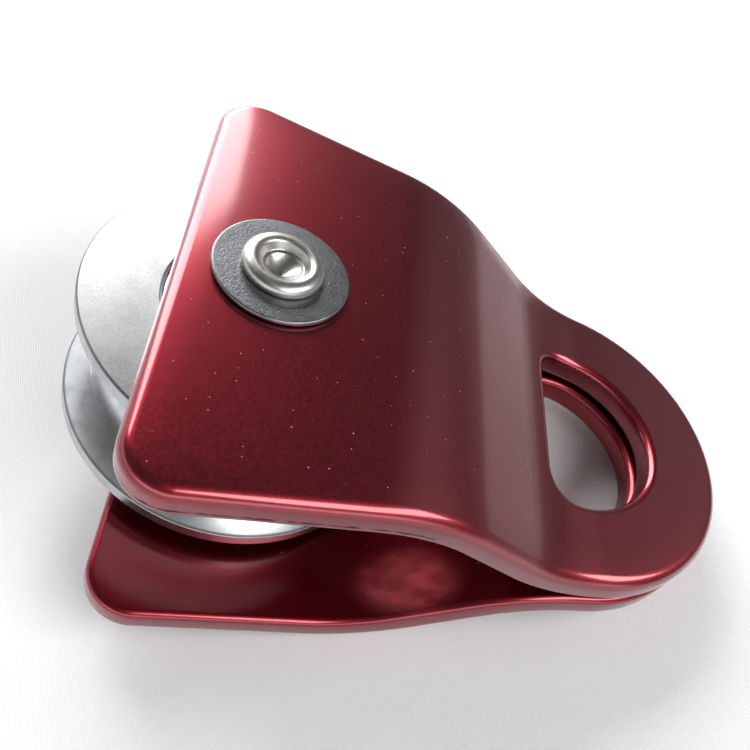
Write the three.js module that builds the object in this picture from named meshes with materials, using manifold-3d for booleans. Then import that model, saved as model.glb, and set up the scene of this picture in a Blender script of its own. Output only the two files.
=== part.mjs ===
// Swing-side rope pulley: two bent side plates turn on a riveted axle, with a grooved sheave
// between them on two sealed ball bearings.
// Millimetres, +Z up along the axle, +X from the axle to the eye. The origin is below the middle
// of the pulley, level with the lower rivet head.
import * as THREE from "three";
import { mergeVertices } from "three/addons/utils/BufferGeometryUtils.js";
import Module from "manifold-3d";

// Sheave
const sheaveRadius = 26.6;
const sheaveWidth = 22.66;
const rimThickness = 2.5;
const ropeRadius = 6.6;
const grooveFlare = 0.42;
const hubWall = 4.2;
const edgeChamfer = 0.3;
const boreChamfer = 0.4;

// Side plates
const plateThickness = 5;
const outerEdgeRadius = 1.8;
const innerEdgeRadius = 1;
const sideGap = 2.8;
const eyeGap = 1;
const cornerOverhang = 13.5;
const cornerRadius = 7;
const squareEnd = 14.4;
const bendOverlap = 9.1;
const bendRadius = 31;
const bendStraight = 10.8;

// Eye
const eyeSpan = 27.6;
const eyeHoleRadius = 15;
const eyeHoleFlat = 5.8;
const eyeHoleCorner = 5;
const eyeHoleEdge = 1.2;
const eyeWall = 13.1;

// Axle, its riveted heads and its washers
const axleRadius = 5;
const headOverhang = 1;
const headHeight = 1.9;
const headFootHeight = 0.65;
const headFootSlope = 0.3;
const rimRound = 1.25;
const bowlWall = 2.3;
const bowlLip = 0.3;
const bowlDepth = 1.3;
const ledgeInset = 3;
const ledgeWidth = 0.4;
const coneDepth = 2.1;
const washerRadius = 10;
const washerThickness = 0.8;
const spacerWall = 2.4;

// Ball bearings, 10 x 30 x 9
const bearingRadius = 15;
const bearingWidth = 9;
const bearingRecess = 0.33;
const bearingChamfer = 0.5;
const ballRadius = 2.381;
const ballCount = 8;
const shoulderDepth = 1.6;
const cageHalfWall = 1.05;
const cageHeel = 3.15;
const cageTip = 1.6;
const sealThickness = 0.8;
const sealInset = 0.3;
const sealSeatDepth = 0.8;

// Clearances
const seatGap = 0.05;
const runGap = 0.15;
const raceGap = 0.11;
const pocketGap = 0.25;

// Facets
const wheelSegments = 56;
const turnedSegments = 32;
const filletSteps = 2;

// Places that follow from the sizes
const faceZ = sheaveWidth / 2;
const plateInnerZ = faceZ + sideGap;
const plateMidZ = plateInnerZ + plateThickness / 2;
const plateOuterZ = plateInnerZ + plateThickness;
const eyeMidZ = (eyeGap + plateThickness) / 2;
const washerTopZ = plateOuterZ + runGap + washerThickness;
const headBaseZ = washerTopZ + seatGap;
const headTopZ = headBaseZ + headHeight;
const eyeX = sheaveRadius + eyeSpan;
const eyeRadius = eyeHoleRadius + eyeWall;
const headRadius = axleRadius + headOverhang;
const grooveRoot = bearingRadius + hubWall;
const bearingFaceZ = faceZ - bearingRecess;
const bearingMidZ = bearingFaceZ - bearingWidth / 2;
const pitchRadius = (axleRadius + bearingRadius) / 2;
const innerShoulder = pitchRadius - shoulderDepth;
const outerShoulder = pitchRadius + shoulderDepth;
const raceRadius = ballRadius + raceGap;

// Finishes
const finish = (color, roughness, metalness) =>
  new THREE.MeshStandardMaterial({ color, roughness, metalness });
const redAnodised = finish(0x9c1f30, 0.38, 0.85);
const brightAluminium = finish(0xd4d4d6, 0.42, 0.9);
const stainless = finish(0xb9b6b0, 0.25, 1);
const greySteel = finish(0x6c7075, 0.5, 0.85);
const bearingSteel = finish(0xc4c6c8, 0.2, 1);
const blackRubber = finish(0x1c1c1e, 0.7, 0);
const nylon = finish(0xd9d2bd, 0.6, 0);

const wasm = await Module();
wasm.setup();

// A closed geometry as a solid for joins and cuts.
function solidOf(geometry) {
  const bare = geometry.clone();
  bare.deleteAttribute("normal");
  bare.deleteAttribute("uv");
  const merged = mergeVertices(bare, 1e-4);
  return new wasm.Manifold(
    new wasm.Mesh({
      numProp: 3,
      vertProperties: merged.attributes.position.array,
      triVerts: new Uint32Array(merged.index.array),
    }),
  );
}

// A solid back as a geometry.
function geometryOf(solid) {
  const mesh = solid.getMesh();
  const geometry = new THREE.BufferGeometry();
  geometry.setAttribute("position", new THREE.BufferAttribute(mesh.vertProperties, 3));
  geometry.setIndex(new THREE.BufferAttribute(mesh.triVerts, 1));
  geometry.computeVertexNormals();
  return geometry;
}

// Twice the area that a closed profile holds, positive when it runs anticlockwise.
function signedArea(profile) {
  return profile.reduce((sum, [r, z], i) => {
    const [nextR, nextZ] = profile[(i + 1) % profile.length];
    return sum + r * nextZ - nextR * z;
  }, 0);
}

// A profile of [radius, z] points turned about the Z axis. A ring's profile closes on itself.
function turned(profile, segments) {
  const points = signedArea(profile) < 0 ? [...profile].reverse() : [...profile];
  const onAxis = points.some(([r]) => r === 0);
  if (!onAxis) points.push(points[0]);
  const curve = points.map(([r, z]) => new THREE.Vector2(r, z));
  return new THREE.LatheGeometry(curve, segments).rotateX(Math.PI / 2);
}

// Points of an arc about (cr, cz), both ends included.
function arc(cr, cz, radius, from, to, steps) {
  return Array.from({ length: steps + 1 }, (_, i) => {
    const angle = from + ((to - from) * i) / steps;
    return [cr + radius * Math.cos(angle), cz + radius * Math.sin(angle)];
  });
}

// A plain ring between two radii and two heights.
function ring(inner, outer, low, high) {
  return [
    [inner, low],
    [outer, low],
    [outer, high],
    [inner, high],
  ];
}

function part(name, geometry, material) {
  const mesh = new THREE.Mesh(geometry, material);
  mesh.name = name;
  return mesh;
}

// The side plate's S-bend: a flat, an arc down, a straight slope, an arc back, and the eye's flat.
const bendDrop = plateMidZ - eyeMidZ;
const bendAngle =
  Math.atan2(2 * bendRadius, bendStraight) +
  Math.asin((bendDrop - 2 * bendRadius) / Math.hypot(2 * bendRadius, bendStraight));
const arcRun = bendRadius * Math.sin(bendAngle);
const bendStart = sheaveRadius - bendOverlap;
const slopeStart = bendStart + arcRun;
const slopeEnd = slopeStart + bendStraight * Math.cos(bendAngle);
const bendEnd = slopeEnd + arcRun;

function slopeAt(x) {
  if (x <= bendStart || x >= bendEnd) return 0;
  if (x < slopeStart) return Math.asin((x - bendStart) / bendRadius);
  if (x < slopeEnd) return bendAngle;
  return Math.asin((bendEnd - x) / bendRadius);
}

function dropAt(x) {
  const turn = bendRadius * (1 - Math.cos(slopeAt(x)));
  if (x < slopeStart) return turn;
  if (x < slopeEnd) return turn + (x - slopeStart) * Math.tan(bendAngle);
  return bendDrop - turn;
}

// A point of the flat blank, h above its middle, carried onto the bent plate.
function bent([x, y, h]) {
  const slope = slopeAt(x);
  return [x + h * Math.sin(slope), y, plateMidZ - dropAt(x) + h * Math.cos(slope)];
}

// Half of a symmetric outline, from its square end to its tip on y = 0, each point with its
// outward direction. Each arc is centre, radius, first and last angle, and steps; stations are
// extra x places on the straight between two arcs.
function halfOutline(arcs, stations) {
  const points = arcs.map(({ x, y, radius, from, to, steps }) =>
    arc(0, 0, 1, from, to, steps).map(([nx, ny]) => ({
      x: x + radius * nx,
      y: y + radius * ny,
      nx,
      ny,
    })),
  );
  const start = points[0][points[0].length - 1];
  const end = points[1][0];
  const between = stations
    .filter((x) => x > start.x + edgeChamfer && x < end.x - edgeChamfer)
    .map((x) => {
      const share = (x - start.x) / (end.x - start.x);
      return { x, y: start.y + share * (end.y - start.y), nx: start.nx, ny: start.ny };
    });
  return [...points[0], ...between, ...points[1].slice(stations.length ? 0 : 1)];
}

// A closed solid from one outline: each level moves the outline out by a distance at a height.
function levelled(half, levels) {
  const tip = half.length - 1;
  const around = 2 * tip + 1;
  const positions = [];
  for (const [out, h] of levels) {
    const upper = half.map(({ x, y, nx, ny }) => [x + out * nx, y + out * ny, h]);
    upper[tip][1] = 0;
    const lower = upper.slice(0, tip).reverse();
    for (const point of upper) positions.push(...bent(point));
    for (const [x, y, z] of lower) positions.push(...bent([x, -y, z]));
  }
  const faces = [];
  for (let level = 0; level < levels.length - 1; level++) {
    for (let i = 0; i < around; i++) {
      const next = (i + 1) % around;
      const low = level * around;
      const high = low + around;
      faces.push(low + i, high + next, low + next, low + i, high + i, high + next);
    }
  }
  const top = (levels.length - 1) * around;
  for (let i = 0; i < tip; i++) {
    const left = around - 1 - i;
    faces.push(top + left, top + left - 1, top + i);
    faces.push(i, left - 1, left);
    if (i === tip - 1) continue;
    faces.push(top + left - 1, top + i + 1, top + i);
    faces.push(i, i + 1, left - 1);
  }
  const geometry = new THREE.BufferGeometry();
  geometry.setAttribute("position", new THREE.Float32BufferAttribute(positions, 3));
  geometry.setIndex(faces);
  return geometry;
}

// Levels of a rounded edge from the middle of the thickness out to one face. The edge moves in
// on a plate and out on a hole, and its radius is limited by the thickness.
function roundedLevels(wanted, side) {
  const half = plateThickness / 2;
  const radius = Math.min(wanted, half - edgeChamfer);
  return arc(0, 0, 1, 0, Math.PI / 2, filletSteps).map(([cos, sin]) => [
    side * radius * (1 - cos),
    half - radius + radius * sin,
  ]);
}

function bothFaces(outer, inner) {
  return [...inner.map(([out, h]) => [out, -h]).reverse(), ...outer];
}

// The blank: a square end with round corners, straight sides that draw in, and a round eye.
function plateOutline() {
  const corner = sheaveRadius + cornerOverhang;
  const reach = eyeX + squareEnd;
  const taper = Math.atan2(corner, reach) - Math.asin(eyeRadius / Math.hypot(corner, reach));
  const side = Math.PI / 2 - taper;
  const cornerY = corner - (cornerRadius * (1 + Math.sin(taper))) / Math.cos(taper);
  const bendStations = [0, 1, 2, 3, 4].flatMap((i) => {
    const turn = bendRadius * Math.sin((bendAngle * i) / 4);
    return [bendStart + turn, bendEnd - turn];
  });
  return halfOutline(
    [
      {
        x: cornerRadius - squareEnd,
        y: cornerY,
        radius: cornerRadius,
        from: Math.PI,
        to: side,
        steps: 6,
      },
      { x: eyeX, y: 0, radius: eyeRadius, from: side, to: 0, steps: 13 },
    ],
    bendStations.sort((a, b) => a - b),
  );
}

// The eye's hole: a circle about the eye's centre, cut off straight towards the sheave.
function eyeHoleOutline() {
  const cornerX = eyeHoleCorner - eyeHoleFlat;
  const cornerY = Math.sqrt((eyeHoleRadius - eyeHoleCorner) ** 2 - cornerX ** 2);
  const meet = Math.atan2(cornerY, cornerX);
  return halfOutline(
    [
      {
        x: eyeX + cornerX,
        y: cornerY,
        radius: eyeHoleCorner,
        from: Math.PI,
        to: meet,
        steps: 4,
      },
      { x: eyeX, y: 0, radius: eyeHoleRadius, from: meet, to: 0, steps: 10 },
    ],
    [],
  );
}

function sidePlate() {
  const edges = bothFaces(roundedLevels(outerEdgeRadius, -1), roundedLevels(innerEdgeRadius, -1));
  const blank = solidOf(levelled(plateOutline(), edges));
  const rounded = roundedLevels(eyeHoleEdge, 1);
  const [[innerOut, innerH], [outerOut, outerH]] = rounded.slice(-2);
  const past = [2 * outerOut - innerOut, 2 * outerH - innerH];
  const flared = [...rounded.slice(0, -1), past, [past[0], past[1] + 1]];
  const eyeHole = solidOf(levelled(eyeHoleOutline(), bothFaces(flared, flared)));
  const bore = axleRadius + runGap;
  const low = plateInnerZ - 1;
  const high = plateOuterZ + 1;
  const axleHole = solidOf(turned(ring(0, bore, low, high), turnedSegments));
  return geometryOf(blank.subtract(eyeHole).subtract(axleHole));
}

// The sheave: a rope groove with a round root and flared walls, and a stepped bore that holds
// the two bearings against its middle shoulder.
function sheaveProfile() {
  const wallZ = faceZ - rimThickness;
  const rootCentre = grooveRoot + ropeRadius;
  const bore = bearingRadius + seatGap;
  const shoulderZ = bearingMidZ - bearingWidth / 2 - seatGap;
  const rootStart = Math.PI / 2 + grooveFlare;
  const root = arc(rootCentre, 0, ropeRadius, rootStart, 2 * Math.PI - rootStart, 10);
  return [
    [outerShoulder, -shoulderZ],
    [bore, -shoulderZ],
    [bore, boreChamfer - faceZ],
    [bore + boreChamfer, -faceZ],
    [sheaveRadius - edgeChamfer, -faceZ],
    [sheaveRadius, edgeChamfer - faceZ],
    [sheaveRadius, -wallZ - edgeChamfer],
    [sheaveRadius - edgeChamfer, -wallZ],
    ...root.reverse(),
    [sheaveRadius - edgeChamfer, wallZ],
    [sheaveRadius, wallZ + edgeChamfer],
    [sheaveRadius, faceZ - edgeChamfer],
    [sheaveRadius - edgeChamfer, faceZ],
    [bore + boreChamfer, faceZ],
    [bore, faceZ - boreChamfer],
    [bore, shoulderZ],
    [outerShoulder, shoulderZ],
  ];
}

// One riveted head from its foot to the axis: a rolled rim, a bowl, a ledge and a cone.
function headProfile() {
  const rim = arc(0, 0, 1, 0, Math.PI / 2, 4).map(([cos, sin]) => [
    headRadius - rimRound * (1 - cos),
    headBaseZ + headFootHeight + (headHeight - headFootHeight) * sin,
  ]);
  const ledgeZ = headTopZ - bowlDepth;
  return [
    [headRadius - headFootSlope, headBaseZ],
    ...rim,
    [headRadius - bowlWall, headTopZ - bowlLip],
    [headRadius - ledgeInset, ledgeZ],
    [headRadius - ledgeInset - ledgeWidth, ledgeZ],
    [0, ledgeZ - coneDepth],
  ];
}

function axleProfile() {
  const upper = [[axleRadius, headBaseZ], ...headProfile()];
  const lower = upper.map(([r, z]) => [r, -z]).reverse();
  return [...lower, ...upper];
}

// A bearing ring's race is an arc about the balls' pitch circle; side is -1 inside, 1 outside.
function race(side) {
  const halfAngle = Math.acos(shoulderDepth / raceRadius);
  const middle = side > 0 ? 0 : Math.PI;
  return arc(pitchRadius, 0, raceRadius, middle + side * halfAngle, middle - side * halfAngle, 4);
}

function innerRingProfile() {
  const half = bearingWidth / 2;
  const bore = axleRadius + seatGap;
  return [[bore, half], [innerShoulder, half], ...race(-1), [innerShoulder, -half],
    [bore, -half]];
}

function outerRingProfile() {
  const half = bearingWidth / 2;
  const seat = half - sealInset - sealThickness - seatGap;
  const lip = outerShoulder + sealSeatDepth;
  return [
    [bearingRadius, half - bearingChamfer],
    [bearingRadius - bearingChamfer, half],
    [lip, half],
    [lip, seat],
    [outerShoulder, seat],
    ...race(1),
    [outerShoulder, -seat],
    [lip, -seat],
    [lip, -half],
    [bearingRadius - bearingChamfer, -half],
    [bearingRadius, bearingChamfer - half],
  ];
}

// The snap-in cage: a ring on one side of the balls, with a round pocket for each ball.
function cage() {
  const inner = pitchRadius - cageHalfWall;
  const outer = pitchRadius + cageHalfWall;
  let solid = solidOf(turned(ring(inner, outer, -cageHeel, cageTip), turnedSegments));
  for (let i = 0; i < ballCount; i++) {
    const pocket = new THREE.CylinderGeometry(1, 1, 4 * cageHalfWall, 16)
      .scale(ballRadius + pocketGap, 1, ballRadius + pocketGap)
      .rotateZ(Math.PI / 2)
      .translate(pitchRadius, 0, 0)
      .rotateZ((2 * Math.PI * i) / ballCount);
    solid = solid.subtract(solidOf(pocket));
  }
  return geometryOf(solid);
}

// One bearing about its own middle, its parts in the two groups that turn apart.
function bearing(side, z) {
  const group = new THREE.Group();
  group.position.z = z;
  const sealR = [innerShoulder + runGap, outerShoulder + sealSeatDepth - seatGap];
  const sealTop = bearingWidth / 2 - sealInset;
  group.add(
    part(`${side}_bearing_inner_ring`, turned(innerRingProfile(), turnedSegments), bearingSteel),
    part(`${side}_bearing_outer_ring`, turned(outerRingProfile(), turnedSegments), bearingSteel),
    part(`${side}_bearing_cage`, cage(), nylon),
  );
  for (const [place, low] of [["outer", sealTop - sealThickness], ["inner", -sealTop]]) {
    const facing = Math.sign(z) * (low + sealThickness / 2) - sealThickness / 2;
    const seal = turned(ring(...sealR, facing, facing + sealThickness), turnedSegments);
    group.add(part(`${side}_bearing_${place}_seal`, seal, blackRubber));
  }
  for (let i = 0; i < ballCount; i++) {
    const ball = part(
      `${side}_ball_${i + 1}`,
      new THREE.IcosahedronGeometry(ballRadius, 1),
      bearingSteel,
    );
    const angle = (2 * Math.PI * i) / ballCount;
    ball.position.set(pitchRadius * Math.cos(angle), pitchRadius * Math.sin(angle), 0);
    group.add(ball);
  }
  return group;
}

// Flat turned pieces that stand alike on both sides of the sheave.
function onBothSides(name, inner, outer, low, high, material) {
  return [["upper", 1], ["lower", -1]].map(([side, sign]) => {
    const heights = [sign * low, sign * high].sort((a, b) => a - b);
    const geometry = turned(ring(inner, outer, ...heights), turnedSegments);
    return part(`${side}_${name}`, geometry, material);
  });
}

function pulley() {
  const group = new THREE.Group();
  const upperPlate = part("upper_side_plate", sidePlate(), redAnodised);
  const lowerPlate = part("lower_side_plate", sidePlate(), redAnodised);
  lowerPlate.rotation.x = Math.PI;
  const bore = axleRadius + seatGap;
  const sleeveHalf = bearingMidZ - bearingWidth / 2 - seatGap;
  const spacerLow = bearingFaceZ + seatGap;
  const spacerHigh = plateInnerZ - runGap;
  const washerLow = plateOuterZ + runGap;
  group.add(
    upperPlate,
    lowerPlate,
    part("sheave", turned(sheaveProfile(), wheelSegments), brightAluminium),
    part("axle", turned(axleProfile(), turnedSegments), stainless),
    part(
      "bearing_sleeve",
      turned(ring(bore, bore + spacerWall, -sleeveHalf, sleeveHalf), turnedSegments),
      stainless,
    ),
    ...onBothSides("spacer", bore, bore + spacerWall, spacerLow, spacerHigh, stainless),
    ...onBothSides("washer", bore, washerRadius, washerLow, washerTopZ, greySteel),
    bearing("upper", bearingMidZ),
    bearing("lower", -bearingMidZ),
  );
  const eyeTip = eyeX + eyeRadius;
  group.position.set((sheaveRadius - eyeTip) / 2, 0, headTopZ);
  return group;
}

const object = new THREE.Group();
object.add(pulley());
export default object;
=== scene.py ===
import math
import bpy
import numpy as np
from mathutils import Euler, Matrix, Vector


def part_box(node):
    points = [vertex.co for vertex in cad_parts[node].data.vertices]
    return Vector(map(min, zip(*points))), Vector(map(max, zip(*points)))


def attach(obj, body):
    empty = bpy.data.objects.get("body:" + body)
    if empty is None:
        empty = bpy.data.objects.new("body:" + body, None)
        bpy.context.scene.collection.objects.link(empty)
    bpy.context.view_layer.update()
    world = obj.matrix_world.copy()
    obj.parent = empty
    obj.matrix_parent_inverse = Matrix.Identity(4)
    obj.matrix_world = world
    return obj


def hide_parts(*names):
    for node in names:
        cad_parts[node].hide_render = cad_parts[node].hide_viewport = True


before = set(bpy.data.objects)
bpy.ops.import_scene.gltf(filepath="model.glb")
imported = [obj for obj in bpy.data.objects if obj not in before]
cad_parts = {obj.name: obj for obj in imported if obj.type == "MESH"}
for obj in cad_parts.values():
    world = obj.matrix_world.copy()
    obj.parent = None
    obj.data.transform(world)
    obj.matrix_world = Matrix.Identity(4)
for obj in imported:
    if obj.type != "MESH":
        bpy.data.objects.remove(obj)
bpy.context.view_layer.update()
print("frame loaded")

# Every piece is drawn in millimetres about the middle of the axle, +X towards the eye,
# +Z up along the axle, and then carried into the frame.
millimetre = 0.001
axleLow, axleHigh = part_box("axle")
axleMiddle = np.array((axleLow + axleHigh) / 2)


def spanOf(node):
    # lowest and highest corner of a CAD node in millimetres about the axle
    low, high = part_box(node)
    return (np.array(low) - axleMiddle) / millimetre, (np.array(high) - axleMiddle) / millimetre


axleSpan = spanOf("axle")
sheaveSpan = spanOf("sheave")
plateSpan = spanOf("upper_side_plate")
lowerPlateSpan = spanOf("lower_side_plate")
washerSpan = spanOf("upper_washer")
spacerSpan = spanOf("upper_spacer")
sleeveSpan = spanOf("bearing_sleeve")
outerRingSpan = spanOf("upper_bearing_outer_ring")
sealSpan = spanOf("upper_bearing_outer_seal")
cageSpan = spanOf("upper_bearing_cage")
sheaveRadius = sheaveSpan[1][0]


# meshes from arrays

def weld(points, faces):
    # points closer than a ten-thousandth of a millimetre become one, and faces keep three or
    # four different corners
    keys = np.round(points * 1e4).astype(np.int64)
    _, first, where = np.unique(keys, axis=0, return_index=True, return_inverse=True)
    faces = where.reshape(-1)[faces]
    doubled = faces == np.roll(faces, -1, axis=1)
    quads = faces[~doubled.any(axis=1)]
    thin = doubled.sum(axis=1) == 1
    keep = np.argsort(doubled[thin], axis=1, kind="stable")[:, :3]
    triangles = np.take_along_axis(faces[thin], np.sort(keep, axis=1), axis=1)
    return points[first], quads, triangles


def enclosedVolume(points, quads, triangles):
    # a sixth of the sum of the corner determinants of every triangle
    fans = [quads[:, [0, 1, 2]], quads[:, [0, 2, 3]], triangles]
    corners = points[np.concatenate(fans)]
    return np.einsum("ij,ij->", corners[:, 0], np.cross(corners[:, 1], corners[:, 2])) / 6


def makePiece(name, points, faces, material, body, node=None):
    # an object from arrays, with its faces outwards, which rides on a body and stands for a node
    points, quads, triangles = weld(points, faces)
    if enclosedVolume(points, quads, triangles) < 0:
        quads, triangles = quads[:, ::-1], triangles[:, ::-1]
    mesh = bpy.data.meshes.new(name)
    loops = np.concatenate([quads.reshape(-1), triangles.reshape(-1)])
    sides = np.concatenate([np.full(len(quads), 4), np.full(len(triangles), 3)])
    starts = np.concatenate([[0], np.cumsum(sides)[:-1]])
    mesh.vertices.add(len(points))
    mesh.loops.add(len(loops))
    mesh.polygons.add(len(sides))
    placed = points * millimetre + axleMiddle
    mesh.vertices.foreach_set("co", placed.astype(np.float32).reshape(-1))
    mesh.loops.foreach_set("vertex_index", loops.astype(np.int32))
    mesh.polygons.foreach_set("loop_start", starts.astype(np.int32))
    mesh.polygons.foreach_set("loop_total", sides.astype(np.int32))
    mesh.polygons.foreach_set("use_smooth", np.ones(len(sides), bool))
    mesh.update(calc_edges=True)
    mesh.validate()
    mesh.materials.append(material)
    piece = bpy.data.objects.new(name, mesh)
    bpy.context.scene.collection.objects.link(piece)
    if body:
        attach(piece, body)
    if node:
        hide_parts(node)
    return piece


def gridFaces(rows, columns, wrap, first=0):
    # quads between neighbouring rows and columns; wrap joins the last column to the first
    row = np.arange(rows - 1)[:, None]
    column = np.arange(columns if wrap else columns - 1)[None, :]
    beside = (column + 1) % columns
    corners = [
        row * columns + column,
        (row + 1) * columns + column,
        (row + 1) * columns + beside,
        row * columns + beside,
    ]
    return first + np.stack([c + 0 * column for c in corners], axis=-1).reshape(-1, 4)


largestCut = 0.45  # of the shorter side beside a corner


def roundCorners(corners, radii, steps=5, support=0.12):
    # a closed outline of straight sides whose corners are arcs: each corner is cut back along
    # both sides by radius over the tangent of half its angle, and the sides get a point beside
    # each arc so that they shade flat
    corners = np.asarray(corners, float)
    points = []
    count = len(corners)
    for i in range(count):
        here = corners[i]
        back = corners[i - 1] - here
        ahead = corners[(i + 1) % count] - here
        backLength, aheadLength = np.hypot(*back), np.hypot(*ahead)
        back, ahead = back / backLength, ahead / aheadLength
        if radii[i] == 0:
            points.append(here)
            continue
        half = math.acos(np.clip(back @ ahead, -1, 1)) / 2
        room = largestCut * min(backLength, aheadLength)
        cut = min(radii[i] / math.tan(half), room)
        radius = cut * math.tan(half)
        middle = here + (back + ahead) / np.hypot(*(back + ahead)) * radius / math.sin(half)
        start, end = here + back * cut, here + ahead * cut
        share = np.linspace(0, 1, steps + 1)[:, None]
        turn = math.pi - 2 * half
        spokes = np.sin((1 - share) * turn) * (start - middle) + np.sin(share * turn) * (end - middle)
        beside = min(support, room - cut + 1e-3)
        points.append(start + back * beside)
        points.extend(middle + spokes / math.sin(turn))
        points.append(end + ahead * beside)
    return np.array(points)


def turnedGrid(profile, segments):
    # the closed profile of radius and height swept once round the axle
    angle = np.linspace(0, 2 * math.pi, segments, endpoint=False)[None, :]
    radius, height = profile[:, :1], profile[:, 1:]
    rings = np.stack([radius * np.cos(angle), radius * np.sin(angle), height + 0 * angle], axis=-1)
    return rings.reshape(-1, 3), gridFaces(len(profile), segments, wrap=True)


def turnedPiece(name, profile, segments, material, body, closed=True):
    # a turned solid that stands for the node of the same name; a profile that starts and ends
    # on the axle is left open
    profile = np.vstack([profile, profile[:1]]) if closed else profile
    points, faces = turnedGrid(profile, segments)
    return makePiece(name, points, faces, material, body, name.replace("_fine", ""))


def mirrored(profile):
    # the same profile below the middle of the axle
    return profile * [1, -1]


# materials

class Signal:
    # one output socket; arithmetic on it adds Math nodes
    def __init__(self, graph, socket):
        self.graph = graph
        self.socket = socket

    def math(self, operation, *others):
        settings = {"operation": operation}
        sockets = dict(enumerate((self, *others)))
        return self.graph.add("ShaderNodeMath", settings, sockets)

    def __add__(self, other):
        return self.math("ADD", other)

    def __sub__(self, other):
        return self.math("SUBTRACT", other)

    def __mul__(self, other):
        return self.math("MULTIPLY", other)

    def __truediv__(self, other):
        return self.math("DIVIDE", other)

    def __rsub__(self, other):
        return self.graph.add("ShaderNodeMath", {"operation": "SUBTRACT"}, {0: other, 1: self})

    __radd__ = __add__
    __rmul__ = __mul__

    def ramp(self, low, high, start=0.0, end=1.0):
        # smooth step from start to end as the signal goes from low to high
        settings = {"interpolation_type": "SMOOTHSTEP"}
        sockets = {"Value": self, "From Min": low, "From Max": high, "To Min": start, "To Max": end}
        return self.graph.add("ShaderNodeMapRange", settings, sockets)


class Graph:
    # the node tree of a new material, or of the world
    def __init__(self, name, owner=None):
        self.material = owner or bpy.data.materials.new(name)
        self.material.use_nodes = True
        self.tree = self.material.node_tree
        self.tree.nodes.clear()

    def add(self, kind, settings=None, sockets=None, output=0):
        # any node: its settings first, then its sockets' links and values
        node = self.tree.nodes.new(kind)
        for key, value in (settings or {}).items():
            setattr(node, key, value)
        for key, value in (sockets or {}).items():
            if isinstance(value, Signal):
                self.tree.links.new(value.socket, node.inputs[key])
            else:
                node.inputs[key].default_value = value
        return Signal(self, node.outputs[output]) if node.outputs else None

    def place(self, turn=(0, 0, 0), scale=(1, 1, 1)):
        # Object coordinates in millimetres about the axle, then stretched and turned
        raw = self.add("ShaderNodeTexCoord", output=3)
        sockets = {"Location": [-c / millimetre for c in axleMiddle], "Scale": [1 / millimetre] * 3}
        centred = self.add("ShaderNodeMapping", {}, {"Vector": raw, **sockets})
        sockets = {"Vector": centred, "Rotation": turn, "Scale": scale}
        return self.add("ShaderNodeMapping", {}, sockets)

    def parts(self, vector):
        # the three components of a vector or a colour
        node = self.add("ShaderNodeSeparateXYZ", {}, {0: vector}).socket.node
        return [Signal(self, socket) for socket in node.outputs]

    def pair(self, first, second=0.0):
        # two signals as one vector, for a pattern that runs along them
        return self.add("ShaderNodeCombineXYZ", {}, {0: first, 1: second})

    def noise(self, vector, size, detail=2.0, roughness=0.5):
        # noise whose blobs are about size millimetres across
        sockets = {"Vector": vector, "Scale": 1 / size, "Detail": detail, "Roughness": roughness}
        return self.add("ShaderNodeTexNoise", {}, sockets)

    def cells(self, vector, size, output=0):
        # distance from the middle of each cell in cell widths, or with output 1 its own colour
        settings = {"voronoi_dimensions": "2D"}
        return self.add("ShaderNodeTexVoronoi", settings, {"Vector": vector, "Scale": 1 / size}, output)

    def blend(self, factor, first, second, kind="MIX"):
        # first where the factor is 0 and second where it is 1
        settings = {"data_type": "RGBA", "blend_type": kind}
        return self.add("ShaderNodeMix", settings, {0: factor, 6: first, 7: second}, output=2)

    def bump(self, height):
        # a relief of height millimetres
        sockets = {"Height": height, "Distance": millimetre, "Strength": 1.0}
        return self.add("ShaderNodeBump", {}, sockets)

    def finish(self, **sockets):
        # the surface itself, with an underscore for each space in a socket's name
        named = {key.replace("_", " "): value for key, value in sockets.items()}
        shader = self.add("ShaderNodeBsdfPrincipled", {}, named)
        self.add("ShaderNodeOutputMaterial", {}, {"Surface": shader})
        return self.material


def colour(red, green, blue):
    return (red, green, blue, 1.0)


tear = dict(
    start=-15.0,
    end=30.0,
    nearWall=-33.0,
    height=15.5,
    waver=0.6,
    waverLength=1.3,
    width=0.26,
    widthLength=2.6,
    depth=0.12,
)

# where the lower plate's matt smudge lies, with its painted reflection
paintedReflectionSpot = dict(x=32.0, y=-26.0, wide=10.0, long=7.5, streaks=4.5, turn=0.9, matt=0.45)

dustSpeck = dict(
    spacing=2.6,
    ragged=0.2,
    largest=0.07,
    matt=0.3,
    bendStart=5,
    bendEnd=46,
    bendHalfWidth=26,
)

plateFinish = dict(
    red=colour(0.28, 0.014, 0.026),
    deepRed=colour(0.22, 0.01, 0.02),
    dust=colour(0.85, 0.7, 0.68),
    torn=colour(0.05, 0.006, 0.01),
    # bright red painted into the lower plate's smudge as a painted reflection
    paintedReflectionSmudge=colour(0.72, 0.13, 0.15),
    roughness=0.31,
    coat=1.0,
    lowerCoat=0.75,
    coatRoughness=0.13,
    coatIndex=1.6,
    grainSize=0.45,
    grainHeight=0.007,
    cloudSize=14,
)


def tornLine(graph, here):
    # a ragged line low on the near side wall, where the punch tore the metal: the distance from
    # a wavering height that falls along the bend by x squared over twice its radius, against a
    # wavering width
    x, y, z = graph.parts(here)
    along = graph.pair(x)
    bent = (x - Bend.start).math("MAXIMUM", 0.0)
    fallen = bent * bent * (0.5 / Bend.radius)
    waver = (graph.noise(along, tear["waverLength"], 3, 0.7) - 0.5) * tear["waver"]
    away = (z + fallen - tear["height"] - waver).math("ABSOLUTE")
    width = graph.noise(along, tear["widthLength"], 3).ramp(0.33, 0.6, -0.04, tear["width"])
    ends = x.ramp(tear["start"], tear["start"] + 6) * x.ramp(tear["end"] - 3, tear["end"], 1, 0)
    onWall = y.ramp(tear["nearWall"], tear["nearWall"] + 2, 1, 0)
    return (width - away).ramp(0.0, 0.06) * ends * onWall


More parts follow.
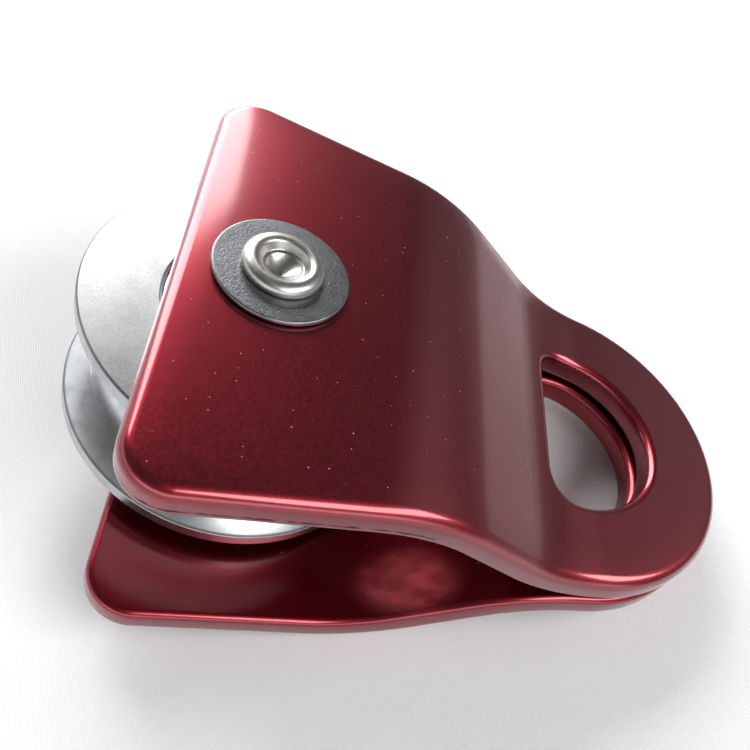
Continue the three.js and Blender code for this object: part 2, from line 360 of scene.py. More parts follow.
def dustSpecks(graph, here, side):
    # a speck in the middle of some cells of a flat pattern, wider where the cell's own chance is
    # higher, on the outer face and on the bend but not on the walls
    x, y, z = graph.parts(here)
    ragged = graph.noise(here, dustSpeck["ragged"], 1) * 0.05
    nearest = graph.cells(here, dustSpeck["spacing"]) + ragged
    chance = graph.parts(graph.cells(here, dustSpeck["spacing"], 1))[0]
    face = plateSpan[1][2]
    onFace = (z * side).ramp(face - 0.43, face - 0.23)
    start, end, halfWidth = [dustSpeck[key] for key in ("bendStart", "bendEnd", "bendHalfWidth")]
    alongBend = x.ramp(start, start + 1) * x.ramp(end - 1, end, 1, 0)
    onBend = alongBend * y.math("ABSOLUTE").ramp(halfWidth - 1, halfWidth, 1, 0)
    size = chance.ramp(0.45, 1.0, 0.0, dustSpeck["largest"])
    return (size - nearest).ramp(0.0, 0.03) * onFace.math("MAXIMUM", onBend)


def paintedReflectionSmudgeMask(graph, here):
    # the mask of a matt smudge that also carries a painted reflection: noise streaks within a soft
    # ellipse about its middle
    x, y, z = graph.parts(here)
    across = (x - paintedReflectionSpot["x"]) / paintedReflectionSpot["wide"]
    along = (y - paintedReflectionSpot["y"]) / paintedReflectionSpot["long"]
    near = (across * across + along * along).ramp(0.0, 1.0, 1, 0)
    slanted = graph.place(turn=(0, 0, paintedReflectionSpot["turn"]), scale=(1, 2, 1))
    streaks = graph.noise(slanted, paintedReflectionSpot["streaks"])
    return near * near * streaks.ramp(0.3, 0.7, 0.45, 0.95)


def anodisedMaterial(name, side):
    # dyed metal under a clear hard layer: noise shifts the dye, fine grain bumps the surface and sparse
    # bright specks are dust; the upper plate (side 1) has a torn line on its near wall and the lower
    # one (side -1) a matt smudge whose colour is painted brighter red as a painted reflection
    graph = Graph(name)
    here = graph.place()
    clouds = graph.noise(here, plateFinish["cloudSize"], 3)
    grain = graph.noise(here, plateFinish["grainSize"], 1)
    dust = dustSpecks(graph, here, side)
    dye = graph.blend(clouds, plateFinish["deepRed"], plateFinish["red"])
    shade = graph.blend(dust * 0.6, dye, plateFinish["dust"])
    roughness = grain.ramp(0.3, 0.7, 0, 0.06) + plateFinish["roughness"] + dust * dustSpeck["matt"]
    relief = grain * plateFinish["grainHeight"]
    metal = 1 - dust * 0.9
    coat = plateFinish["lowerCoat"]
    if side > 0:
        scar = tornLine(graph, here)
        shade = graph.blend(scar * 0.9, shade, plateFinish["torn"])
        relief = relief - scar * tear["depth"]
        coat = plateFinish["coat"] - scar
    else:
        paintedReflectionSmudge = paintedReflectionSmudgeMask(graph, here)
        # the smudge is painted bright red as a painted reflection, and made rougher as a real matt mark
        shade = graph.blend(paintedReflectionSmudge, shade, plateFinish["paintedReflectionSmudge"])
        roughness = roughness + paintedReflectionSmudge * paintedReflectionSpot["matt"]
    return graph.finish(
        Base_Color=shade,
        Metallic=metal,
        Roughness=roughness,
        Coat_Weight=coat,
        Coat_Roughness=plateFinish["coatRoughness"],
        Coat_IOR=plateFinish["coatIndex"],
        Normal=graph.bump(relief),
    )


sheaveFinish = dict(
    bright=colour(0.72, 0.73, 0.74),
    dull=colour(0.48, 0.49, 0.51),
    outerShare=0.72,
    # dark colour painted on the edge chamfers as a painted dark reflection
    paintedChamferReflection=colour(0.16, 0.16, 0.15),
    faceRoughness=0.27,
    grooveRoughness=0.26,
    grainSize=0.3,
    grainHeight=0.013,
    ringSize=0.11,
    ringHeight=0.0016,
    paintedChamferLine=(0.34, 0.02),
)


def sheaveMaterial(name):
    # blasted flat faces with coarse grain, a smooth turned groove and rim, and a thin dark line of
    # painted shade on the chamfers at the edge of each face, a painted dark reflection
    graph = Graph(name)
    here = graph.place()
    x, y, z = graph.parts(here)
    face = sheaveSpan[1][2]
    onFace = z.math("ABSOLUTE").ramp(face - 0.25, face - 0.05)
    grain = graph.noise(here, sheaveFinish["grainSize"], 3, 0.65)
    clouds = graph.noise(here, 4, 4, 0.6)
    radius = (x * x + y * y).math("SQRT")
    rings = graph.noise(graph.pair(radius, z), sheaveFinish["ringSize"], 1)
    mottle = clouds.ramp(0.4, 0.7) * (0.75 - onFace * 0.45) + grain.ramp(0.35, 0.65) * onFace * 0.5
    shade = graph.blend(mottle, sheaveFinish["bright"], sheaveFinish["dull"])
    outside = onFace.math("MAXIMUM", radius.ramp(sheaveRadius - 0.5, sheaveRadius - 0.3))
    shade = graph.blend(outside, shade, colour(*[sheaveFinish["outerShare"]] * 3), "MULTIPLY")
    lineStart, lineEnd = [sheaveRadius - inset for inset in sheaveFinish["paintedChamferLine"]]
    paintedChamferLine = radius.ramp(lineStart, lineStart + 0.08) * radius.ramp(lineEnd - 0.08, lineEnd, 1, 0)
    # a painted dark reflection: the chamfers at the face edges are painted darker
    shade = graph.blend(paintedChamferLine * 0.85, shade, sheaveFinish["paintedChamferReflection"])
    rough = onFace * (sheaveFinish["faceRoughness"] - sheaveFinish["grooveRoughness"])
    roughness = rough + sheaveFinish["grooveRoughness"] + rings * 0.06
    relief = grain * onFace * sheaveFinish["grainHeight"] + rings * sheaveFinish["ringHeight"]
    return graph.finish(
        Base_Color=shade, Metallic=1.0, Roughness=roughness, Normal=graph.bump(relief)
    )


steels = dict(
    rivet=dict(
        light=colour(0.52, 0.51, 0.48),
        dark=colour(0.42, 0.41, 0.385),
        roughness=0.3,
        grainSize=0.5,
        grainHeight=0.001,
        ringHeight=0.0,
    ),
    washer=dict(
        light=colour(0.34, 0.35, 0.36),
        dark=colour(0.06, 0.063, 0.067),
        roughness=0.33,
        grainSize=0.4,
        grainHeight=0.05,
        ringHeight=0.0,
    ),
    bearing=dict(
        light=colour(0.72, 0.72, 0.73),
        dark=colour(0.55, 0.55, 0.57),
        roughness=0.16,
        grainSize=0.5,
        grainHeight=0.0,
        ringHeight=0.001,
    ),
)


def steelMaterial(name, steel):
    # grain bumps the surface and shifts its shade, with turning marks about the axle
    graph = Graph(name)
    here = graph.place()
    x, y, z = graph.parts(here)
    grain = graph.noise(here, steel["grainSize"], 3, 0.6)
    clouds = graph.noise(here, 2.5, 3)
    radius = (x * x + y * y).math("SQRT")
    rings = graph.noise(graph.pair(radius, z), 0.1, 1)
    shade = graph.blend(clouds * 0.6 + grain * 0.4, steel["dark"], steel["light"])
    roughness = grain.ramp(0.3, 0.7, 0, 0.08) + steel["roughness"]
    relief = grain * steel["grainHeight"] + rings * steel["ringHeight"]
    return graph.finish(
        Base_Color=shade, Metallic=1.0, Roughness=roughness, Normal=graph.bump(relief)
    )


moulded = dict(
    rubber=dict(light=colour(0.03, 0.03, 0.033), dark=colour(0.012, 0.012, 0.013), roughness=0.6),
    nylon=dict(light=colour(0.66, 0.6, 0.46), dark=colour(0.52, 0.46, 0.33), roughness=0.5),
)


def mouldedMaterial(name, mould):
    # plain moulded rubber or plastic with a faint mottle
    graph = Graph(name)
    here = graph.place()
    mottle = graph.noise(here, 0.35, 3)
    return graph.finish(
        Base_Color=graph.blend(mottle, mould["dark"], mould["light"]),
        Roughness=mottle.ramp(0.3, 0.7, -0.05, 0.05) + mould["roughness"],
        Normal=graph.bump(mottle * 0.01),
    )


machinedAluminium = sheaveMaterial("machined_aluminium")
rivetSteel = steelMaterial("riveted_stainless", steels["rivet"])
washerSteel = steelMaterial("blasted_washer_steel", steels["washer"])
bearingSteel = steelMaterial("ground_bearing_steel", steels["bearing"])
sealRubber = mouldedMaterial("seal_rubber", moulded["rubber"])
cageNylon = mouldedMaterial("cage_nylon", moulded["nylon"])
print("metal, rubber and nylon made")


# side plates

plate = dict(
    thickness=5.0,
    outerEdge=1.8,
    innerEdge=1.0,
    edgeRoll=0.3,
    edgeRollWidth=6.0,
    cornerRadius=7.0,
    cornerOverhang=13.5,
    bendOverlap=9.1,
    bendRadius=31.0,
    bendStraight=10.8,
    eyeWall=13.1,
    holeRadius=15.0,
    holeFlat=5.8,
    holeCorner=5.0,
    holeEdge=1.3,
    axleHole=5.15,
    axleHoleEdge=0.25,
    spacing=1.0,
    rowsAtEye=56,
    rowsAtAxle=18,
    edgeSteps=9,
)
plateMiddle = plateSpan[1][2] - plate["thickness"] / 2
squareEnd = -plateSpan[0][0]
eyeMiddleZ = plateSpan[0][2] + plate["thickness"] / 2
eyeRadius = plate["holeRadius"] + plate["eyeWall"]
eyeX = plateSpan[1][0] - eyeRadius


class Bend:
    # flat, arc down, straight slope, arc back, flat; all along x
    drop = plateMiddle - eyeMiddleZ
    radius = plate["bendRadius"]
    reach = math.hypot(2 * radius, plate["bendStraight"])
    angle = math.atan2(2 * radius, plate["bendStraight"]) + math.asin((drop - 2 * radius) / reach)
    start = sheaveRadius - plate["bendOverlap"]
    slopeStart = start + radius * math.sin(angle)
    slopeEnd = slopeStart + plate["bendStraight"] * math.cos(angle)
    end = slopeEnd + radius * math.sin(angle)


def bentPoints(blank):
    # a blank point (x, y, h) moves to the bend's height at x and then h along the bend's normal
    x, y, h = blank[..., 0], blank[..., 1], blank[..., 2]
    down = np.arcsin(np.clip((x - Bend.start) / Bend.radius, 0, math.sin(Bend.angle)))
    back = np.arcsin(np.clip((Bend.end - x) / Bend.radius, 0, math.sin(Bend.angle)))
    slope = np.minimum(down, back)
    arcDrop = Bend.radius * (1 - np.cos(slope))
    slopeDrop = (x - Bend.slopeStart) * math.tan(Bend.angle)
    beyond = np.where(x < Bend.slopeEnd, arcDrop + slopeDrop, Bend.drop - arcDrop)
    fallen = np.where(x < Bend.slopeStart, arcDrop, beyond)
    raised = plateMiddle - fallen + h * np.cos(slope)
    return np.stack([x + h * np.sin(slope), y, raised], axis=-1)


def arcStretch(centre, radius, start, end, spacing):
    # points and outward directions of an arc
    count = max(3, math.ceil(abs(end - start) * radius / spacing))
    angle = np.linspace(start, end, count + 1)
    out = np.stack([np.cos(angle), np.sin(angle)], axis=1)
    return np.array(centre) + radius * out, out


def lineStretch(start, end, out, spacing):
    # points of a straight side, which all look the same way
    start, end = np.array(start), np.array(end)
    count = max(2, math.ceil(np.hypot(*(end - start)) / spacing))
    share = np.linspace(0, 1, count + 1)[:, None]
    return start + (end - start) * share, np.tile(out, (count + 1, 1))


def chain(*stretches):
    # stretches end to end, each but the first without its first point
    points = [s[0] if i == 0 else s[0][1:] for i, s in enumerate(stretches)]
    outs = [s[1] if i == 0 else s[1][1:] for i, s in enumerate(stretches)]
    return np.vstack(points), np.vstack(outs)


def plateOutlines():
    # the outline in two open stretches that meet where the bend starts: round the square end
    # and round the eye; the sides draw in as tangents from the corners to the eye's circle
    corner = sheaveRadius + plate["cornerOverhang"]
    reach = eyeX + squareEnd
    taper = math.atan2(corner, reach) - math.asin(eyeRadius / math.hypot(corner, reach))
    side = math.pi / 2 - taper
    radius = plate["cornerRadius"]
    cornerX = radius - squareEnd
    cornerY = corner - radius * (1 + math.sin(taper)) / math.cos(taper)
    upward = np.array([math.cos(side), math.sin(side)])
    downward = upward * [1, -1]
    joint = np.array([Bend.start, corner - (Bend.start + squareEnd) * math.tan(taper)])
    eyeTouch = np.array([eyeX, 0]) + eyeRadius * upward
    cornerTouch = np.array([cornerX, cornerY]) + radius * upward
    step = plate["spacing"]
    flip = np.array([1, -1])
    squareStretch = chain(
        lineStretch(joint, cornerTouch, upward, step),
        arcStretch((cornerX, cornerY), radius, side, math.pi, step / 2),
        lineStretch((-squareEnd, cornerY), (-squareEnd, -cornerY), (-1, 0), step),
        arcStretch((cornerX, -cornerY), radius, math.pi, 2 * math.pi - side, step / 2),
        lineStretch(cornerTouch * flip, joint * flip, downward, step),
    )
    eyeStretch = chain(
        lineStretch(joint * flip, eyeTouch * flip, downward, step),
        arcStretch((eyeX, 0), eyeRadius, -side, side, step),
        lineStretch(eyeTouch, joint, upward, step),
    )
    return squareStretch, eyeStretch


def roundHole(angle):
    # distance from the axle and outward direction at each angle
    return np.full_like(angle, plate["axleHole"]), np.stack([np.cos(angle), np.sin(angle)], axis=1)


def eyeHole(angle):
    # a circle, cut off straight towards the sheave, with an arc in each corner: the ray at each
    # angle meets the circle, the corner arc or the straight side
    ray = np.stack([np.cos(angle), np.sin(angle)], axis=1)
    corner = plate["holeCorner"]
    cornerX = corner - plate["holeFlat"]
    cornerY = math.sqrt((plate["holeRadius"] - corner) ** 2 - cornerX**2)
    turn = np.abs(np.arctan2(ray[:, 1], ray[:, 0]))
    centre = np.stack([np.full_like(angle, cornerX), np.sign(ray[:, 1]) * cornerY], axis=1)
    along = np.einsum("ij,ij->i", ray, centre)
    inside = np.maximum(along**2 - cornerX**2 - cornerY**2 + corner**2, 0)
    toCorner = along + np.sqrt(inside)
    toFlat = plate["holeFlat"] / np.maximum(-ray[:, 0], 1e-6)
    onCircle = turn < math.atan2(cornerY, cornerX)
    onFlat = turn > math.atan2(cornerY, -plate["holeFlat"])
    distance = np.where(onCircle, plate["holeRadius"], np.where(onFlat, toFlat, toCorner))
    cornerOut = (ray * toCorner[:, None] - centre) / corner
    out = np.where(onCircle[:, None], ray, np.where(onFlat[:, None], [-1.0, 0.0], cornerOut))
    return distance, out


def roundedRows(line, out, radius, side, top):
    # rows of a rounded edge from a face (top) down to the wall: the line moves by
    # radius (1 - cos) and rises by radius sin, as the angle goes from a right angle to zero
    half = plate["thickness"] / 2
    rows = []
    for angle in np.linspace(math.pi / 2, 0, plate["edgeSteps"]):
        moved = line + side * out * radius * (1 - math.cos(angle))
        height = np.full((len(line), 1), half - radius + radius * math.sin(angle))
        rows.append(np.hstack([moved, height * top]))
    return rows


def faceRows(inner, outer, count, top):
    # rows of a face between two loops, closer together at both ends
    share = np.concatenate([[0, 0.006], np.linspace(0.02, 0.98, count), [0.994, 1]])
    flat = inner + (outer - inner) * share[:, None, None]
    height = np.full((*flat.shape[:2], 1), plate["thickness"] / 2 * top)
    return list(np.concatenate([flat, height], axis=2))


def plateZone(stretch, centre, hole, holeEdge, rows):
    # the part of the plate round one hole: a closed strip whose section runs out over the
    # outer face, down the outline's edge, back over the inner face and up the hole's wall
    outline, out = stretch
    gap = math.ceil(np.hypot(*(outline[-1] - outline[0])) / plate["spacing"])
    points, faces = [], []

    def loopOf(edge):
        inset = outline - out * edge
        return np.vstack([inset, np.linspace(inset[-1], inset[0], gap + 1)[1:-1]])

    upperLoop, lowerLoop = loopOf(plate["outerEdge"]), loopOf(plate["innerEdge"])
    spokes = upperLoop - centre
    distance, holeOut = hole(np.arctan2(spokes[:, 1], spokes[:, 0]))
    holeLine = centre + spokes / np.hypot(*spokes.T)[:, None] * distance[:, None]
    holeFace = holeLine + holeOut * holeEdge

    def addGrid(gridRows, wrap):
        grid = np.stack(gridRows)
        faces.append(gridFaces(grid.shape[0], grid.shape[1], wrap, sum(map(len, points))))
        points.append(grid.reshape(-1, 3))

    outerEdge = roundedRows(outline, out, plate["outerEdge"], -1, 1)
    innerEdge = roundedRows(outline, out, plate["innerEdge"], -1, -1)[::-1]
    holeUp = roundedRows(holeLine, holeOut, holeEdge, 1, -1)
    holeDown = roundedRows(holeLine, holeOut, holeEdge, 1, 1)[::-1]
    addGrid(faceRows(holeFace, upperLoop, rows, 1), True)
    addGrid(outerEdge + innerEdge, False)
    addGrid(faceRows(holeFace, lowerLoop, rows, -1)[::-1], True)
    addGrid(holeUp + holeDown, True)
    return np.vstack(points), np.vstack(faces)


def rolledEdge(blank, outline, out):
    # the outer face falls off towards the outline, as the square of the nearness to it; the
    # distance to a rounded outline that never turns in is the least distance to its tangents
    reach = np.einsum("ij,ij->i", outline, out)
    distance = np.min(reach - blank[:, :2] @ out.T, axis=1)
    nearness = np.clip(1 - distance / plate["edgeRollWidth"], 0, 1)
    fall = plate["edgeRoll"] * nearness**2 * (0.5 + blank[:, 2] / plate["thickness"])
    return np.column_stack([blank[:, :2], blank[:, 2] - fall])


def sidePlate(name, top, material, body):
    # a zone round the axle and one round the eye, bent together; the lower plate (top -1) is
    # the upper one turned half a turn about X
    squareStretch, eyeStretch = plateOutlines()
    axlePoints, axleFaces = plateZone(
        squareStretch, np.array([0.0, 0.0]), roundHole, plate["axleHoleEdge"], plate["rowsAtAxle"]
    )
    eyePoints, eyeFaces = plateZone(
        eyeStretch, np.array([eyeX, 0.0]), eyeHole, plate["holeEdge"], plate["rowsAtEye"]
    )
    outline, out = chain(squareStretch, eyeStretch)
    points = bentPoints(rolledEdge(np.vstack([axlePoints, eyePoints]), outline, out))
    faces = np.vstack([axleFaces, eyeFaces + len(axlePoints)])
    points = points * [1, top, top]
    return makePiece(name, points, faces, material, body, name.replace("_fine", ""))


upperRed = anodisedMaterial("upper_anodised_red", 1)
lowerRed = anodisedMaterial("lower_anodised_red", -1)
sidePlate("upper_side_plate_fine", 1, upperRed, "upper_plate")
sidePlate("lower_side_plate_fine", -1, lowerRed, "lower_plate")
print("side plates made")


# sheave

sheave = dict(
    rim=2.5,
    ropeRadius=6.6,
    grooveRoot=19.2,
    flare=0.42,
    edge=0.3,
    bore=15.05,
    boreChamfer=0.4,
    shoulder=11.6,
    shoulderZ=1.95,
    segments=288,
)


def sheaveProfile():
    # half of the section, then its mirror image: bore, face, rim, groove wall and round root
    face = sheaveSpan[1][2]
    wall = face - sheave["rim"]
    centre = sheave["grooveRoot"] + sheave["ropeRadius"]
    start = math.pi / 2 + sheave["flare"]
    angle = np.linspace(start, math.pi, 26)
    root = [centre, 0] + sheave["ropeRadius"] * np.stack([np.cos(angle), np.sin(angle)], axis=1)
    edge = sheave["edge"]
    corners = [
        (sheave["shoulder"], 0),
        (sheave["shoulder"], sheave["shoulderZ"]),
        (sheave["bore"], sheave["shoulderZ"]),
        (sheave["bore"], face - sheave["boreChamfer"]),
        (sheave["bore"] + sheave["boreChamfer"], face),
        (sheaveRadius - edge, face),
        (sheaveRadius, face - edge),
        (sheaveRadius, wall + edge),
        (sheaveRadius - edge, wall),
        tuple(root[0]),
        (sheave["grooveRoot"], 0),
    ]
    radii = [0, 0.1, 0.1, 0.1, 0.1, 0.08, 0.08, 0.12, 0.25, 0, 0]
    outline = roundCorners(corners, radii)
    upper = np.vstack([outline[:-2], root])
    return np.vstack([upper, mirrored(upper[1:-1])[::-1]])


section = sheaveProfile()
segments = sheave["segments"]
turnedPiece("sheave_fine", section, segments, machinedAluminium, "sheave_set")
print("sheave made")


# axle, washers, spacers and sleeve

head = dict(
    shaft=5.0,
    overhang=1.0,
    height=1.9,
    footHeight=0.65,
    footSlope=0.35,
    rimRound=1.5,
    bowlWall=2.4,
    lipDrop=0.55,
    bowlDepth=1.3,
    ledgeInset=3.0,
    ledgeWidth=0.5,
    ledgeFall=0.04,
    coneDepth=2.1,
    segments=160,
)


def headProfile():
    # foot, rolled rim as a quarter ellipse out and another in, bowl wall, ledge and cone
    top = axleSpan[1][2]
    base = top - head["height"]
    outer = head["shaft"] + head["overhang"]
    crest = outer - head["rimRound"]
    shoulder = base + head["footHeight"]
    lipWidth = head["bowlWall"] - head["rimRound"]

    def ellipse(middle, middleZ, width, height, start, end, count):
        angle = np.linspace(start, end, count)
        return np.stack([middle + width * np.cos(angle), middleZ + height * np.sin(angle)], axis=1)

    right = math.pi / 2
    slope = head["footSlope"]
    under = ellipse(outer - slope, shoulder, slope, head["footHeight"], -right, 0, 6)
    rim = ellipse(crest, shoulder, head["rimRound"], top - shoulder, 0, right, 12)
    lipEnd = math.radians(165)
    lip = ellipse(crest, top - head["lipDrop"], lipWidth, head["lipDrop"], right, lipEnd, 10)
    ledge = outer - head["ledgeInset"]
    bowl = roundCorners(
        [
            tuple(lip[-1]),
            (ledge, top - head["bowlDepth"]),
            (ledge - head["ledgeWidth"], top - head["bowlDepth"] - head["ledgeFall"]),
            (0, top - head["bowlDepth"] - head["coneDepth"]),
        ],
        [0, 0.3, 0.14, 0],
        support=0.05,
    )
    return np.vstack([[head["shaft"], base], under[:-1], rim, lip[1:], bowl[1:]])


upperHead = headProfile()
axleProfile = np.vstack([mirrored(upperHead)[::-1], upperHead])
segments = head["segments"]
turnedPiece("axle_fine", axleProfile, segments, rivetSteel, "axle_set", closed=False)


def ringProfile(inner, outer, low, high, radius):
    # a rectangle with rounded corners
    corners = [(inner, low), (outer, low), (outer, high), (inner, high)]
    return roundCorners(corners, [radius] * 4)


def plainRing(name, span, inner, radius, material, segments=160):
    # a ring as wide and high as its CAD node; the lower one is its mirror image
    low, high = span
    profile = ringProfile(inner, high[0], low[2], high[2], radius)
    turnedPiece(f"upper_{name}_fine", profile, segments, material, "axle_set")
    turnedPiece(f"lower_{name}_fine", mirrored(profile), segments, material, "axle_set")


ring = dict(gap=0.05, washerEdge=0.32, spacerEdge=0.2)
ringBore = head["shaft"] + ring["gap"]
plainRing("washer", washerSpan, ringBore, ring["washerEdge"], washerSteel)
plainRing("spacer", spacerSpan, ringBore, ring["spacerEdge"], rivetSteel)
sleeveLow, sleeveHigh = sleeveSpan
sleeveProfile = ringProfile(ringBore, sleeveHigh[0], sleeveLow[2], sleeveHigh[2], ring["spacerEdge"])
turnedPiece("bearing_sleeve_fine", sleeveProfile, 96, rivetSteel, "axle_set")
print("axle, washers and spacers made")


# bearings

bearing = dict(
    ballRadius=2.381,
    ballCount=8,
    shoulderDepth=1.6,
    raceGap=0.11,
    outerChamfer=0.5,
    innerChamfer=0.4,
    shoulderEdge=0.15,
    sealInset=0.35,
    sealSeat=0.8,
    sealGap=0.15,
    pocketGap=0.25,
    cageWall=2.1,
    cageEdge=0.2,
    segments=128,
)
bearingHalf = (outerRingSpan[1][2] - outerRingSpan[0][2]) / 2
bearingZ = (outerRingSpan[1][2] + outerRingSpan[0][2]) / 2
pitchRadius = (head["shaft"] + outerRingSpan[1][0]) / 2


def raceArc(side):
    # the arc of the ball track about the pitch circle, from above to below
    radius = bearing["ballRadius"] + bearing["raceGap"]
    half = math.acos(bearing["shoulderDepth"] / radius)
    middle = 0 if side > 0 else math.pi
    angle = middle + side * np.linspace(half, -half, 17)
    return np.stack([pitchRadius + radius * np.cos(angle), radius * np.sin(angle)], axis=1)


def innerRingProfile():
    # a rectangle whose outer side is broken by the ball track
    shoulder = pitchRadius - bearing["shoulderDepth"]
    corners = [(shoulder, -bearingHalf), (ringBore, -bearingHalf), (ringBore, bearingHalf)]
    edges = [bearing["shoulderEdge"], bearing["innerChamfer"], bearing["innerChamfer"]]
    outline = roundCorners([*corners, (shoulder, bearingHalf)], [*edges, edges[0]])
    return np.vstack([outline, raceArc(-1)])


def outerRingProfile():
    # a rectangle with a step for each seal, whose inner side is broken by the ball track
    shoulder = pitchRadius + bearing["shoulderDepth"]
    outer = outerRingSpan[1][0]
    lip = shoulder + bearing["sealSeat"]
    sealHeight = sealSpan[1][2] - sealSpan[0][2]
    seat = bearingHalf - bearing["sealInset"] - sealHeight
    upper = [(shoulder, seat), (lip, seat), (lip, bearingHalf), (outer, bearingHalf)]
    lower = [(outer, -bearingHalf), (lip, -bearingHalf), (lip, -seat), (shoulder, -seat)]
    radii = [0.05, 0.05, 0.1, bearing["outerChamfer"]]
    return np.vstack([roundCorners(upper + lower, radii + radii[::-1]), raceArc(1)[::-1]])


def sealProfile():
    # a flat washer of rubber with a shallow groove near its lip, on the bearing's outer side
    inner = pitchRadius - bearing["shoulderDepth"] + bearing["sealGap"]
    outer = sealSpan[1][0]
    top = bearingHalf - bearing["sealInset"] + 0.05
    low = top - (sealSpan[1][2] - sealSpan[0][2])
    corners = [
        (inner, low),
        (outer, low),
        (outer, top),
        (outer - 0.5, top),
        (outer - 0.7, top - 0.15),
        (inner + 1.0, top - 0.15),
        (inner + 0.8, top - 0.3),
        (inner + 0.5, top - 0.3),
        (inner + 0.3, top),
        (inner, top),
    ]
    return roundCorners(corners, [0.05] * len(corners), steps=3, support=0.03)


def cageGrid(heel, tip):
    # a ring whose top dips under each ball: over a pocket the top follows the pocket's circle,
    # minus the root of pocket radius squared less the distance along the ring squared
    columns = bearing["ballCount"] * 48
    angle = np.linspace(0, 2 * math.pi, columns, endpoint=False)
    pitch = 2 * math.pi / bearing["ballCount"]
    along = (np.mod(angle + pitch / 2, pitch) - pitch / 2) * pitchRadius
    pocket = bearing["ballRadius"] + bearing["pocketGap"]
    inPocket = np.abs(along) < pocket
    top = np.where(inPocket, -np.sqrt(np.maximum(pocket**2 - along**2, 0)), tip)
    outer = cageSpan[1][0]
    inner = outer - bearing["cageWall"]
    edge = bearing["cageEdge"]
    foot = np.full(columns, heel)
    rows = [
        (inner, foot + edge),
        (inner + edge, foot),
        (outer - edge, foot),
        (outer, foot + edge),
        (outer, top - edge),
        (outer - edge, top),
        (inner + edge, top),
        (inner, top - edge),
        (inner, foot + edge),
    ]
    grid = [np.stack([r * np.cos(angle), r * np.sin(angle), z], axis=1) for r, z in rows]
    return np.vstack(grid), gridFaces(len(rows), columns, wrap=True)


def ballGrid(centre):
    # a sphere as half circles turned round its own upright axis
    latitude = np.linspace(-math.pi / 2, math.pi / 2, 25)
    half = bearing["ballRadius"] * np.stack([np.cos(latitude), np.sin(latitude)], axis=1)
    half[[0, -1], 0] = 0
    points, faces = turnedGrid(half, 40)
    return points + centre, faces


def bearingPieces(side, sign):
    # one bearing at its height above (sign 1) or below (sign -1) the middle of the axle
    def ringPiece(part, profile, material, body):
        placed = profile + [0, sign * bearingZ]
        name = f"{side}_bearing_{part}_fine"
        turnedPiece(name, placed, bearing["segments"], material, body)

    ringPiece("inner_ring", innerRingProfile(), bearingSteel, "axle_set")
    ringPiece("outer_ring", outerRingProfile(), bearingSteel, "sheave_set")
    outwards = sealProfile() * [1, sign]
    ringPiece("outer_seal", outwards, sealRubber, "sheave_set")
    ringPiece("inner_seal", mirrored(outwards), sealRubber, "sheave_set")
    points, faces = cageGrid(cageSpan[0][2] - bearingZ, cageSpan[1][2] - bearingZ)
    points = points + [0, 0, sign * bearingZ]
    node = f"{side}_bearing_cage"
    makePiece(f"{node}_fine", points, faces, cageNylon, "ball_train", node)
    for i in range(bearing["ballCount"]):
        angle = 2 * math.pi * i / bearing["ballCount"]
        centre = [pitchRadius * math.cos(angle), pitchRadius * math.sin(angle), sign * bearingZ]
        points, faces = ballGrid(centre)
        node = f"{side}_ball_{i + 1}"
        makePiece(f"{node}_fine", points, faces, bearingSteel, "ball_train", node)


bearingPieces("upper", 1)
bearingPieces("lower", -1)
print("bearings made")


# floor, camera and lights

ground = dict(
    size=1600.0,
    cells=220,
    rampLow=-62.0,
    rampHigh=86.0,
    softness=7.0,
    crowding=0.88,
    clearance=0.02,
    thread=0.42,
    weaveTurn=0.45,
    weaveHeight=0.02,
    wrinkleSize=60,
    wrinkleHeight=0.8,
    white=colour(0.86, 0.87, 0.88),
    shade=colour(0.78, 0.79, 0.8),
)


def clothMaterial(name):
    # plain weave: two crossed sine waves, one for each way that the threads run
    graph = Graph(name)
    here = graph.place(turn=(0, 0, ground["weaveTurn"]))
    x, y, z = graph.parts(here)
    wave = 2 * math.pi / ground["thread"]
    weave = (x * wave).math("SINE") * (y * wave).math("SINE")
    wrinkle = graph.noise(here, ground["wrinkleSize"], 3)
    relief = weave * ground["weaveHeight"] + wrinkle * ground["wrinkleHeight"]
    mottle = weave * 0.25 + wrinkle * 0.5
    return graph.finish(
        Base_Color=graph.blend(mottle, ground["white"], ground["shade"]),
        Roughness=0.9,
        Normal=graph.bump(relief),
    )


def groundHeight(x):
    # the pulley rests on its lower rivet and on the tip of its eye: the ground rises between
    # them in a straight line, and a pair of soft steps levels it out beyond
    footX = head["shaft"] + head["overhang"] - head["rimRound"]
    footZ = axleSpan[0][2]
    tipX = lowerPlateSpan[1][0] - plate["outerEdge"]
    tipZ = -(eyeMiddleZ + plate["thickness"] / 2)
    slope = (tipZ - footZ) / (tipX - footX)
    soft = ground["softness"]

    def after(edge):
        return soft * np.logaddexp(0, (x - edge) / soft)

    reached = ground["rampLow"] + after(ground["rampLow"]) - after(ground["rampHigh"])
    return footZ + (reached - footX) * slope


def makeGround():
    # a square sheet of cells that crowd towards the pulley as the cube of their place
    place = np.linspace(-1, 1, ground["cells"])
    line = ground["size"] * ((1 - ground["crowding"]) * place + ground["crowding"] * place**3)
    x, y = np.meshgrid(line, line, indexing="ij")
    points = np.stack([x, y, groundHeight(x) - ground["clearance"]], axis=-1).reshape(-1, 3)
    faces = gridFaces(ground["cells"], ground["cells"], wrap=False)
    sheet = makePiece("ground", points, faces, clothMaterial("woven_white_cloth"), None)


makeGround()

viewpoint = dict(
    place=(-10.71, -88.82, 101.75), turn=(39.797, -20.382, 3.777), lens=41.076, nearest=2
)


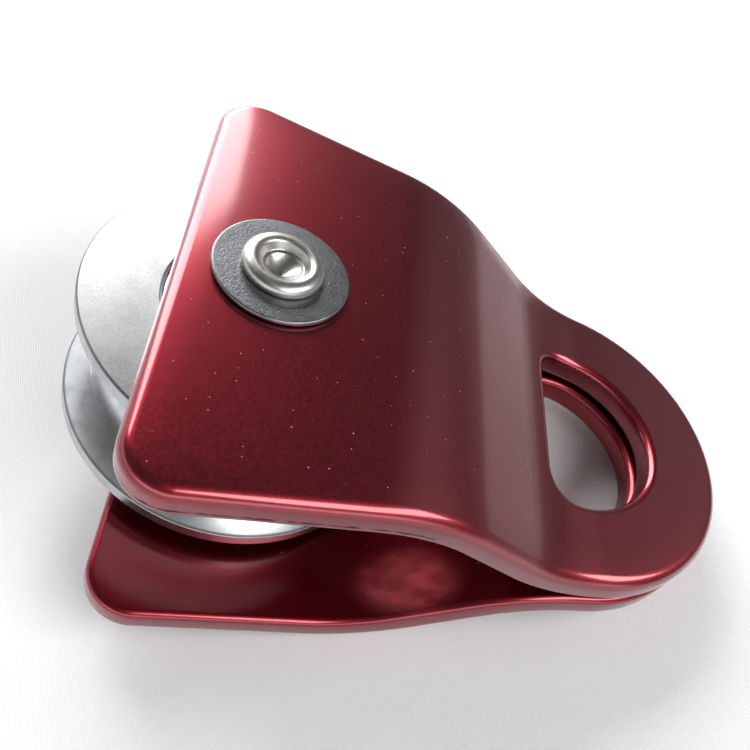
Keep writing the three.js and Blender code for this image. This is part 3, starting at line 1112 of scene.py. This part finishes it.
def makeCamera():
    # place in millimetres about the axle and turn in degrees
    camera = bpy.data.objects.new("camera", bpy.data.cameras.new("camera"))
    bpy.context.scene.collection.objects.link(camera)
    camera.location = Vector(np.array(viewpoint["place"]) * millimetre + axleMiddle)
    camera.rotation_euler = Euler([math.radians(a) for a in viewpoint["turn"]])
    camera.data.lens = viewpoint["lens"]
    camera.data.sensor_width = 36
    camera.data.clip_start = viewpoint["nearest"] * millimetre
    bpy.context.scene.camera = camera


makeCamera()

lamps = [
    dict(name="window", azimuth=-27.5, elevation=25, distance=0.7, size=(0.56, 0.47), power=6.8),
    dict(name="ceiling", azimuth=122, elevation=50, distance=0.9, size=(0.9, 0.36), power=6.7),
]


def makeLamp(lamp):
    # azimuth 0 is behind the pulley, along +Y, and grows towards +X; distances are in metres
    azimuth, elevation = math.radians(lamp["azimuth"]), math.radians(lamp["elevation"])
    level = Vector((math.sin(azimuth), math.cos(azimuth), 0)) * math.cos(elevation)
    away = level + Vector((0, 0, math.sin(elevation)))
    light = bpy.data.lights.new(lamp["name"], "AREA")
    light.shape = "RECTANGLE"
    light.size, light.size_y = lamp["size"]
    light.energy = lamp["power"]
    holder = bpy.data.objects.new(lamp["name"], light)
    bpy.context.scene.collection.objects.link(holder)
    holder.location = Vector(axleMiddle) + away * lamp["distance"]
    holder.rotation_euler = away.to_track_quat("Z", "Y").to_euler()


for lamp in lamps:
    makeLamp(lamp)


sky = dict(
    horizon=0.5,
    horizonTop=0.12,
    horizonBlur=0.015,
    low=0.18,
    high=0.1,
    viewerSide=2.35,
    leftSide=1.0,
    rightSide=0.32,
    tint=colour(0.97, 0.98, 1),
)


def makeSky():
    # a bright strip up to horizonTop, dim above it and dimmer overhead, a faint glow high on
    # the right, and soft bright bands low on the viewer's side and on the left
    world = bpy.data.worlds.new("studio")
    bpy.context.scene.world = world
    graph = Graph("studio", world)
    x, y, z = graph.parts(graph.add("ShaderNodeTexCoord"))
    top, blur = sky["horizonTop"], sky["horizonBlur"]
    strip = z.ramp(top - blur, top + blur, sky["horizon"], 0)
    above = z.ramp(0.2, 0.65, sky["low"], sky["high"]) * z.ramp(0.1, 0.14)
    band = z.ramp(0.0, 0.1) * z.ramp(0.28, 0.42, 1, 0)
    nearViewer = y.ramp(-0.85, -0.4, sky["viewerSide"], 0)
    nearLeft = x.ramp(-0.95, -0.6, sky["leftSide"], 0)
    nearRight = x.ramp(0.25, 0.6, 0, sky["rightSide"]) * z.ramp(0.3, 0.65)
    strength = strip + above + nearRight + band * (nearViewer + nearLeft)
    shader = graph.add("ShaderNodeBackground", {}, {"Strength": strength, "Color": sky["tint"]})
    graph.add("ShaderNodeOutputWorld", {}, {"Surface": shader})


makeSky()
bpy.context.scene.view_settings.view_transform = "Standard"
print("ground, camera and lights made")
